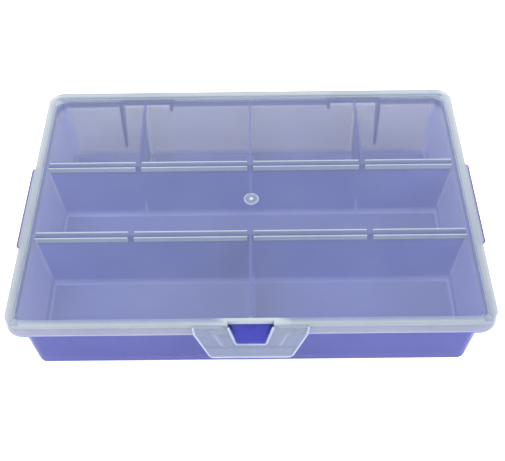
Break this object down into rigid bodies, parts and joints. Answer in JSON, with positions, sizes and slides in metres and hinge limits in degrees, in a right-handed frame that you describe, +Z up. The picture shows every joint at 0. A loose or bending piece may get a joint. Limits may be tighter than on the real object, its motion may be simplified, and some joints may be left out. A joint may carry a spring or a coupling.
{
  "type": "compartment storage tray",
  "caption": "Shallow compartment tray with fixed dividers in three rows, a clear hinged lid with seal ribs, a front window latch and side grips.",
  "frame": {"origin": "centre of the tray's flat underside, on the surface it stands on", "axes": "+X along the long side to the user's right, +Y from the latch side to the hinge side, +Z up out of the compartments"},
  "size_m": [0.2462, 0.1747, 0.0463],
  "materials": {
    "tray_plastic": "translucent blue-violet polypropylene, satin",
    "lid_plastic": "frosted translucent polypropylene",
    "latch_plastic": "frosted translucent polypropylene, same moulding as the lid"
  },
  "bodies": {
    "tray": {"tray_shell": "tray_plastic", "lid_seat_ledge": "tray_plastic", "rear_long_divider": "tray_plastic", "front_long_divider": "tray_plastic", "rear_left_cross_divider": "tray_plastic", "rear_centre_cross_divider": "tray_plastic", "rear_right_cross_divider": "tray_plastic", "front_cross_divider": "tray_plastic", "left_side_grip": "tray_plastic", "right_side_grip": "tray_plastic", "latch_catch": "tray_plastic", "left_hinge_brackets": "tray_plastic", "right_hinge_brackets": "tray_plastic", "left_hinge_pin": "tray_plastic", "right_hinge_pin": "tray_plastic"},
    "lid": {"lid_shell": "lid_plastic", "rear_seal_ribs": "lid_plastic", "front_seal_ribs": "lid_plastic", "left_hinge_knuckle": "lid_plastic", "right_hinge_knuckle": "lid_plastic", "lid_gate_mark": "lid_plastic", "latch_hinge_strips": "lid_plastic"},
    "latch": {"front_latch": "latch_plastic"}
  },
  "joints": [
    {"name": "lid_hinge", "type": "hinge", "parent": "tray", "child": "lid", "pos_m": [0, 0.0854, 0.035], "axis": [-1, 0, 0], "range_deg": [0, 180]},
    {"name": "latch_hinge", "type": "hinge", "parent": "lid", "child": "latch", "pos_m": [0, -0.083, 0.0459], "axis": [-1, 0, 0], "range_deg": [0, 110]}
  ]
}
